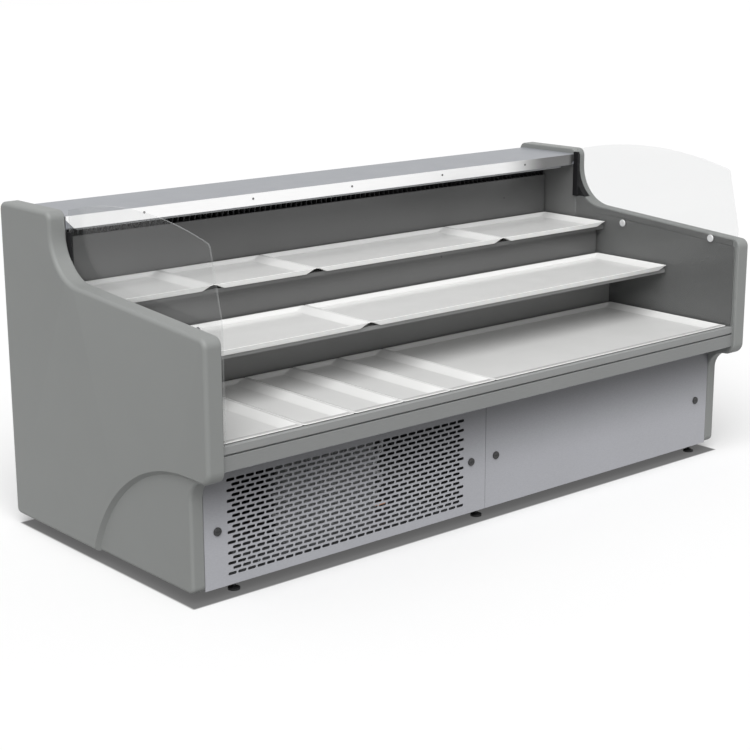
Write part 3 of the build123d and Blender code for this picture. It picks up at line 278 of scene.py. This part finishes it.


# Painted reflection and painted shade: the strip's colour darkens near its right end, where it would mirror
# the grey tower, and the kick panels' colour darkens towards the top, where the bumper shades them.
# A fade has an axis, the place where it starts and ends, and the value at each
STRIP_PAINTED_REFLECTION = (0.45, 0.17, 1.0, 0.2)
KICK_PAINTED_SHADE = (0.29, 0.0, 1.0, 0.36)
strip_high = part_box("front_strip")[1]
kick_low, kick_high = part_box("kick_panel_vent")


def fade_before(axis, end, fade):
    """Fade along an axis, placed by its distances before an end."""
    return (axis, end - fade[0], end - fade[1], *fade[2:])


strip_painted_reflection = fade_before(0, strip_high.x, STRIP_PAINTED_REFLECTION)
kick_painted_shade = fade_before(2, kick_high.z, KICK_PAINTED_SHADE)

LOOKS = {
    "moulded_grey": dict(colour=(0.250, 0.258, 0.252), rough=0.55, grain=700, bump=0.00009, mottle=0.05,
                         cloud=0.02, wear=0.10),
    "shelf_grey": dict(colour=(0.253, 0.264, 0.287), rough=0.42, grain=500, stretch=(0.04, 1, 1),
                       bump=0.00002, mottle=0.04, cloud=0.03),
    # Painted reflection: the strip's colour darkens near its right end, where it would mirror the grey tower
    "bright_steel": dict(colour=(0.97, 0.97, 0.97), rough=0.30, metallic=0.8, grain=420,
                         stretch=(0.02, 1, 1), bump=0.00001, mottle=0.03, cloud=0.02, fade=strip_painted_reflection),
    "bumper_grey": dict(colour=(0.222, 0.227, 0.225), rough=0.5, grain=500, stretch=(0.05, 1, 1),
                        bump=0.00003, mottle=0.08, cloud=0.05, wear=0.1),
    # Painted shade: the kick panels' colour darkens towards the top, under the bumper
    "kick_grey": dict(colour=(0.45, 0.455, 0.485), rough=0.45, grain=650, stretch=(0.25, 1, 1),
                      bump=0.00003, mottle=0.12, cloud=0.04, fade=kick_painted_shade),
    "black_plastic": dict(colour=(0.02, 0.02, 0.021), rough=0.42, grain=900, bump=0.00003, wear=0.3),
    "dark_sheet": dict(colour=(0.125, 0.126, 0.125), rough=0.3, grain=500, stretch=(0.05, 1, 1),
                       bump=0.00001, mottle=0.05, cloud=0.05),
    "white_tray": dict(colour=(0.84, 0.84, 0.83), rough=0.24, grain=300, bump=0.000003, mottle=0.01,
                       cloud=0.012, coat=0.25),
    "polished_steel": dict(colour=(0.93, 0.93, 0.94), rough=0.34, metallic=0.6, grain=900, bump=0.00001,
                           mottle=0.03),
    "galvanised": dict(colour=(0.36, 0.37, 0.38), rough=0.42, metallic=0.7, grain=60, bump=0.00002,
                       mottle=0.06, cloud=0.05, spangle=0.06),
    "foam": dict(colour=(0.74, 0.66, 0.42), rough=0.85, grain=400, bump=0.0004, mottle=0.1),
    "liner_steel": dict(colour=(0.42, 0.43, 0.44), rough=0.35, metallic=0.85, grain=500,
                        stretch=(0.03, 1, 1), bump=0.00001, mottle=0.06),
    "lamp_white": dict(colour=(0.36, 0.37, 0.38), rough=0.5, grain=300, bump=0.00002, mottle=0.02),
    "aluminium": dict(colour=(0.30, 0.305, 0.31), rough=0.45, metallic=0.8, grain=200, bump=0.00003,
                      mottle=0.07),
    "motor_grey": dict(colour=(0.03, 0.03, 0.033), rough=0.45, grain=500, bump=0.00004, wear=0.4),
    "fan_grey": dict(colour=(0.06, 0.062, 0.066), rough=0.5, grain=500, bump=0.00003),
    "copper": dict(colour=(0.72, 0.36, 0.22), rough=0.36, metallic=1.0, grain=160, bump=0.00003,
                   mottle=0.16, cloud=0.08),
    "compressor_black": dict(colour=(0.012, 0.012, 0.013), rough=0.3, grain=300, bump=0.00005, coat=0.4,
                             wear=0.3),
    "drain_white": dict(colour=(0.55, 0.55, 0.53), rough=0.45, grain=300, bump=0.00003),
    "switch_green": dict(colour=(0.02, 0.16, 0.05), rough=0.25, grain=600, bump=0.00001, coat=0.3),
    "lining_grey": dict(colour=(0.165, 0.167, 0.165), rough=0.4, grain=500, stretch=(0.05, 1, 1),
                        bump=0.00001, mottle=0.05, cloud=0.05),
    # Painted light: a lighter copy of the dark sheet for the middle step's riser, which sits in deeper shade
    "riser_lightened_sheet": dict(colour=(0.24, 0.242, 0.24), rough=0.4, grain=500, stretch=(0.05, 1, 1),
                       bump=0.00001, mottle=0.05, cloud=0.05),
    "rubber_black": dict(colour=(0.010, 0.010, 0.011), rough=0.65, grain=900, bump=0.00002,
                         specular=0.15),
    # Painted shade: a darker copy of the zinc for the base frame, so that the machine bay seen through the
    # kick panel's slots looks dark
    "zinc_darkened_for_shade": dict(colour=(0.13, 0.133, 0.137), rough=0.5, metallic=0.4, grain=60, bump=0.00002,
                         spangle=0.1),
    "bumper_upper_grey": dict(colour=(0.262, 0.267, 0.265), rough=0.5, grain=500, stretch=(0.05, 1, 1),
                              bump=0.00003, mottle=0.08, cloud=0.05, wear=0.1),
    "coil_grey": dict(colour=(0.42, 0.425, 0.43), rough=0.5, metallic=0.2, grain=200, bump=0.00003,
                      mottle=0.1),
    "screw_grey": dict(colour=(0.10, 0.10, 0.10), rough=0.4, metallic=0.4, grain=900),
    # Painted shade: the black mat inside the rear vents, put there to darken the view through the slots
    "shade_mat_black": dict(colour=(0.035, 0.035, 0.036), rough=0.9, grain=450, bump=0.0004, mottle=0.3,
                         specular=0.2),
}
FINISHES = {name: finish_of(name, **look) for name, look in LOOKS.items()}
FINISHES["clear_glass"] = glass_of("clear_glass", (0.945, 0.947, 0.947))

# Nodes whose finish differs from the rest of their slot
OWN_FINISH = {
    "side_lining_left": "lining_grey",
    "side_lining_right": "lining_grey",
    # Painted light: the middle step is drawn lighter than the other dark sheet, to make up for its deeper
    # shade
    "middle_step": "riser_lightened_sheet",
    # Painted shade: the base frame is drawn in a darkened zinc
    "base_frame": "zinc_darkened_for_shade",
    "bumper_upper_rail": "bumper_upper_grey",
    "condenser_coil": "coil_grey",
    "strip_screws": "screw_grey",
}


def dress(obj, finish):
    """One finish on the whole object."""
    obj.data.materials.clear()
    obj.data.materials.append(FINISHES[finish])


slot_of = {entry["node"]: entry["material_slot"] for entry in frame["record"]["subparts"]}
for node, slot in slot_of.items():
    dress(frame["nodes"][node], OWN_FINISH.get(node, slot))


# Pieces
def new_piece(name, fill, body, slot, stands_for=(), finish=None):
    """Object made by a function that fills a bmesh, attached to its body and dressed in its finish, or in
    the finish named after its slot when none is given.
    """
    shape = bmesh.new()
    fill(shape)
    bmesh.ops.recalc_face_normals(shape, faces=shape.faces)
    mesh = bpy.data.meshes.new(name)
    shape.to_mesh(mesh)
    shape.free()
    piece = bpy.data.objects.new(name, mesh)
    scene.collection.objects.link(piece)
    dress(piece, finish or slot)
    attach(piece, body)
    if stands_for:
        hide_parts(*stands_for)


CORNER_STEPS = 6


def rounded_ring(shape, low, high, z, radius):
    """Loop of points round a rectangle with round corners, at one height."""
    centres = (
        (high[0] - radius, high[1] - radius, 0),
        (low[0] + radius, high[1] - radius, 90),
        (low[0] + radius, low[1] + radius, 180),
        (high[0] - radius, low[1] + radius, 270),
    )
    loop = []
    for x, y, start in centres:
        for step in range(CORNER_STEPS + 1):
            turn = math.radians(start + 90 * step / CORNER_STEPS)
            loop.append(shape.verts.new((x + radius * math.cos(turn), y + radius * math.sin(turn), z)))
    return loop


def solid_through(shape, loops, smooth=False):
    """Closed solid through a list of loops with the same number of points."""
    for first, second in zip(loops[:-1], loops[1:]):
        for n in range(len(first)):
            after = (n + 1) % len(first)
            face = shape.faces.new((first[n], first[after], second[after], second[n]))
            face.smooth = smooth
    shape.faces.new(loops[0][::-1])
    shape.faces.new(loops[-1])


# Display trays with a rolled rim
TRAY_CORNER = 7 * MM
TRAY_LIP = 18 * MM
# In mm: height above the base, and how far in from the ends, and from the front and back of shelf and
# deck trays
TRAY_PROFILE = (
    (0.0, 44.0, 5.0, 13.5),
    (0.4, 42.0, 3.4, 12.0),
    (1.6, 39.5, 2.2, 10.6),
    (9.0, 22.5, 1.5, 6.4),
    (14.6, 8.4, 0.9, 3.6),
    (15.3, 6.4, 0.8, 2.2),
    (15.5, 1.4, 0.5, 0.9),
    (16.0, 0.3, 0.1, 0.2),
    (16.9, 0.0, 0.0, 0.0),
    (17.6, 0.5, 0.5, 0.5),
    (18.0, 1.8, 1.6, 1.6),
    (18.0, 4.4, 4.2, 4.2),
    (17.5, 6.4, 5.8, 5.8),
    (16.2, 9.0, 7.0, 7.0),
    (9.0, 26.0, 10.4, 10.4),
    (4.2, 40.0, 13.6, 13.6),
    (3.0, 43.6, 15.8, 15.8),
    (2.5, 48.0, 19.5, 19.5),
)
TRAY_LIP_BASE = 15.4
TRAY_LIP_INSET = 5


def tray_maker(low, high, on_deck):
    """Fills a bmesh with a tray in the given box. A deck tray's front rim reaches out over the bumper."""
    def fill(shape):
        loops = []
        for height, ends, steep, sloped in TRAY_PROFILE:
            inset = sloped if on_deck else steep
            reach = TRAY_LIP if on_deck and height > TRAY_LIP_BASE and inset < TRAY_LIP_INSET else 0
            near = (low.x + ends * MM, low.y + inset * MM - reach)
            far = (high.x - ends * MM, high.y - inset * MM)
            loops.append(rounded_ring(shape, near, far, low.z + height * MM, TRAY_CORNER))
        solid_through(shape, loops, smooth=True)
    return fill


for node, slot in slot_of.items():
    if slot == "white_tray":
        low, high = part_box(node)
        maker = tray_maker(low, high, node.startswith("deck"))
        new_piece(f"{node}_shell", maker, f"{node}_body", slot, [node])


# Outline of the end panels' rim, in mm: a slope from the front, then a sweep up into the tower
SLOPE_RISE = 58
SLOPE_RUN = 850
SLOPE = math.atan2(SLOPE_RISE, SLOPE_RUN)
UPRIGHT = math.pi / 2
SWEEP = 155
SWEEP_CENTRE = (695, 1028)
INNER_FACE = 1207
FOOT = 38
DEPTH_HALF = 585


def rim_point(turn, margin):
    """Setback and height on the sweep, a margin inside the rim. The turn is upright at the tower."""
    radius = SWEEP + margin
    return (SWEEP_CENTRE[0] + radius * math.sin(turn), SWEEP_CENTRE[1] - radius * math.cos(turn))


def side_loop(shape, side, x_range, near, far):
    """Loop across a sheet that stands upright along the counter's depth, at two points of its outline."""
    corners = ((x_range[0], near), (x_range[1], near), (x_range[1], far), (x_range[0], far))
    return [
        shape.verts.new((side * x * MM, (setback - DEPTH_HALF) * MM, (height + FOOT) * MM))
        for x, (setback, height) in corners
    ]


# Edge of the side linings, up to the rounding of the rim
EDGE_SHEET = (INNER_FACE - 2.7, INNER_FACE - 0.1)
EDGE_MARGINS = (5.5, 27)
EDGE_TOP = 1026
EDGE_FRONT = 30
SWEEP_STEPS = 24


def lining_edge_maker(side):
    """Fills a bmesh with the lining's edge on one side, -1 for left and 1 for right."""
    def fill(shape):
        starts = [(rim_point(UPRIGHT, margin)[0], EDGE_TOP) for margin in EDGE_MARGINS]
        loops = [side_loop(shape, side, EDGE_SHEET, *starts)]
        for step in range(1, SWEEP_STEPS + 1):
            turn = UPRIGHT - (UPRIGHT + SLOPE) * step / SWEEP_STEPS
            outline = [rim_point(turn, margin) for margin in EDGE_MARGINS]
            loops.append(side_loop(shape, side, EDGE_SHEET, *outline))
        last = [rim_point(-SLOPE, margin) for margin in EDGE_MARGINS]
        ends = [(EDGE_FRONT, height - (setback - EDGE_FRONT) * math.tan(SLOPE)) for setback, height in last]
        loops.append(side_loop(shape, side, EDGE_SHEET, *ends))
        solid_through(shape, loops)
    return fill


# Black seals of the side glasses: an upright profile round the glass, and a cover on the front of the tower
SEAL_BAR = ((1195.4, 1206.8), (826, 852))
SEAL_SPAN = (905, 1086)
SHORT_SEAL_SPAN = (905, 1026)
SEAL_ROUND = 2.5 * MM
SEAL_CHAMFER = 1.5
COVER = (INNER_FACE - 2.9, INNER_FACE + 27)
COVER_REAR = 853
COVER_PROUD = -1.0
COVER_DROP = 12


def seal_maker(side):
    """Fills a bmesh with the seal of one side, -1 for left and 1 for right. The left one ends under the
    shelf and has no cover."""
    def fill(shape):
        (near_x, far_x), (front, rear) = SEAL_BAR
        low_x, high_x = sorted((side * near_x * MM, side * far_x * MM))
        bottom, top = SEAL_SPAN if side > 0 else SHORT_SEAL_SPAN
        seal_ends = (
            (bottom, SEAL_CHAMFER),
            (bottom + SEAL_CHAMFER, 0),
            (top - SEAL_CHAMFER, 0),
            (top, SEAL_CHAMFER),
        )
        loops = []
        for height, shrink in seal_ends:
            near = (low_x + shrink * MM, (front - DEPTH_HALF + shrink) * MM)
            far = (high_x - shrink * MM, (rear - DEPTH_HALF - shrink) * MM)
            loops.append(rounded_ring(shape, near, far, (height + FOOT) * MM, SEAL_ROUND))
        solid_through(shape, loops)
        if side < 0:
            return
        lowest = math.acos((SWEEP_CENTRE[1] - bottom) / SWEEP)
        front_line = [(SWEEP_CENTRE[0] + SWEEP + COVER_PROUD, top - COVER_DROP)]
        for step in range(SWEEP_STEPS + 1):
            turn = UPRIGHT - (UPRIGHT - lowest) * step / SWEEP_STEPS
            front_line.append(rim_point(turn, COVER_PROUD))
        solid_through(shape, [side_loop(shape, side, COVER, (s, h), (COVER_REAR, h)) for s, h in front_line])
    return fill


for name, side in (("left", -1), ("right", 1)):
    slot = slot_of[f"side_lining_{name}"]
    new_piece(f"lining_edge_{name}", lining_edge_maker(side), CABINET, slot, finish="lining_grey")
    new_piece(f"glass_seal_{name}", seal_maker(side), CABINET, "black_plastic", finish="rubber_black")


# Side glasses, a little thinner than the solids so that they stand clear of the linings
PANE_THICKNESS = 0.9


def pane_maker(node):
    """Fills a bmesh with the node's shape, drawn in on both faces."""
    def fill(shape):
        solid = frame["nodes"][node]
        shape.from_mesh(solid.data)
        shape.transform(solid.matrix_world)
        low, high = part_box(node)
        middle = Matrix.Translation(-(low + high) / 2)
        bmesh.ops.scale(shape, vec=(PANE_THICKNESS, 1, 1), space=middle, verts=shape.verts)
        for face in shape.faces:
            face.smooth = False
    return fill


for node in ("side_glass_left", "side_glass_right"):
    new_piece(f"{node}_pane", pane_maker(node), CABINET, slot_of[node], [node])


# Fine fins between the condenser's thick ones
FIN_PITCH = 3.2 * MM
FIN_THICK = 0.5 * MM
FIN_INSET = 1.2 * MM
coil_low, coil_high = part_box("condenser_coil")
shroud_low, shroud_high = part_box("fan_shroud")


def fill_fins(shape):
    """Fills a bmesh with thin upright plates across the condenser."""
    middle = (coil_low.y + coil_high.y) / 2
    size = (FIN_THICK, coil_high.y - coil_low.y - 2 * FIN_INSET, coil_high.z - coil_low.z - 2 * FIN_INSET)
    for n in range(1, int((shroud_high.x - shroud_low.x) / FIN_PITCH)):
        place = Vector((shroud_low.x + n * FIN_PITCH, middle, (coil_low.z + coil_high.z) / 2))
        bmesh.ops.create_cube(shape, size=1, matrix=Matrix.Translation(place) @ Matrix.Diagonal((*size, 1)))


new_piece("condenser_fins", fill_fins, CABINET, "aluminium", finish="coil_grey")

# Black foam mat on the inside of the rear vents, a guessed filter, put there to darken the view through the
# kick panel's slots: a dark sheet standing in for shade
SHADE_MAT_BOX = ((-846, 534, 112), (-274, 542.6, 360))
SHADE_MAT_ROUND = 3 * MM


def fill_mat(shape):
    """Fills a bmesh with a flat mat with round corners."""
    low, high = [[value * MM for value in corner] for corner in SHADE_MAT_BOX]
    loops = []
    for y in (low[1], high[1]):
        ring = rounded_ring(shape, (low[0], low[2]), (high[0], high[2]), y, SHADE_MAT_ROUND)
        for vert in ring:
            vert.co = (vert.co.x, y, vert.co.y)
        loops.append(ring)
    solid_through(shape, loops)


new_piece("rear_shade_mat", fill_mat, CABINET, "black_plastic", finish="shade_mat_black")

# Floor
bpy.ops.mesh.primitive_plane_add(size=FLOOR_SIZE, location=(0, 0, 0))
floor = bpy.context.object
floor.name = "floor"
mat, tree, out = new_material("floor")
seen = seen_rays(tree)
# Painted shade: the floor's colour and glow are darkened under the counter, and more deeply further in
covered = [
    (0, cad_box[0].x + SHADE_INSET, 1),
    (0, cad_box[1].x - SHADE_INSET, -1),
    (1, kick_low.y - 2 * SHADE_INSET, 1),
    (1, cad_box[1].y - SHADE_INSET, -1),
]
under = 1.0
deep = 1.0
for axis, place, side in covered:
    edge = along(tree, axis, place - side * SHADE_EDGE, place + side * SHADE_EDGE, 0.0, 1.0)
    under = combine(tree, "MULTIPLY", under, edge)
    depth = along(tree, axis, place + side * SHADE_DEEP[0], place + side * SHADE_DEEP[1], 0.0, 1.0)
    deep = combine(tree, "MULTIPLY", deep, depth)
dim = spread(tree, deep, 1.0, SHADE_DIM, 0, 1)
white = spread(tree, under, FLOOR_WHITE, FLOOR_SHADE, 0, 1)
matte = tree.nodes.new("ShaderNodeBsdfDiffuse")
shade = tree.nodes.new("ShaderNodeCombineColor")
level = combine(tree, "MULTIPLY_ADD", seen, combine(tree, "SUBTRACT", white, FLOOR_BOUNCE), FLOOR_BOUNCE)
level = combine(tree, "MULTIPLY", level, dim)
for channel in range(3):
    tree.links.new(level, shade.inputs[channel])
tree.links.new(shade.outputs[0], matte.inputs["Color"])
lift = tree.nodes.new("ShaderNodeEmission")
glow = combine(tree, "MULTIPLY", seen, FLOOR_LIFT)
tree.links.new(combine(tree, "MULTIPLY", glow, dim), lift.inputs["Strength"])
both = tree.nodes.new("ShaderNodeAddShader")
tree.links.new(matte.outputs[0], both.inputs[0])
tree.links.new(lift.outputs[0], both.inputs[1])
tree.links.new(both.outputs[0], out.inputs["Surface"])
floor.data.materials.append(mat)

# Light: soft surroundings that look white, and a wide soft sun above the camera
world = bpy.data.worlds.new("surroundings")
scene.world = world
world.use_nodes = True
tree = world.node_tree
tree.nodes.clear()
out = tree.nodes.new("ShaderNodeOutputWorld")
seen = seen_rays(tree)
sky = tree.nodes.new("ShaderNodeBackground")
sky.inputs["Color"].default_value = (1, 1, 1, 1)
tree.links.new(spread(tree, seen, AMBIENT, 1.0, 0, 1), sky.inputs["Strength"])
tree.links.new(sky.outputs[0], out.inputs["Surface"])

sun_data = bpy.data.lights.new("sun", "SUN")
sun_data.energy = SUN
sun_data.angle = math.radians(SUN_SPREAD)
sun = bpy.data.objects.new("sun", sun_data)
sun.rotation_euler = (math.radians(90 - SUN_HEIGHT), 0, math.radians(CAMERA_AZIMUTH))
scene.collection.objects.link(sun)

# Camera
camera_data = bpy.data.cameras.new("camera")
camera_data.lens = CAMERA_LENS
camera_data.sensor_width = CAMERA_SENSOR
camera = bpy.data.objects.new("camera", camera_data)
camera.location = CAMERA_PLACE
turn = Matrix.Rotation(math.radians(CAMERA_AZIMUTH), 4, "Z")
tilt = Matrix.Rotation(math.radians(90 - CAMERA_HEIGHT), 4, "X")
camera.rotation_euler = (turn @ tilt @ Matrix.Rotation(math.radians(CAMERA_ROLL), 4, "Z")).to_euler()
scene.collection.objects.link(camera)
scene.camera = camera

scene.view_settings.view_transform = "Standard"
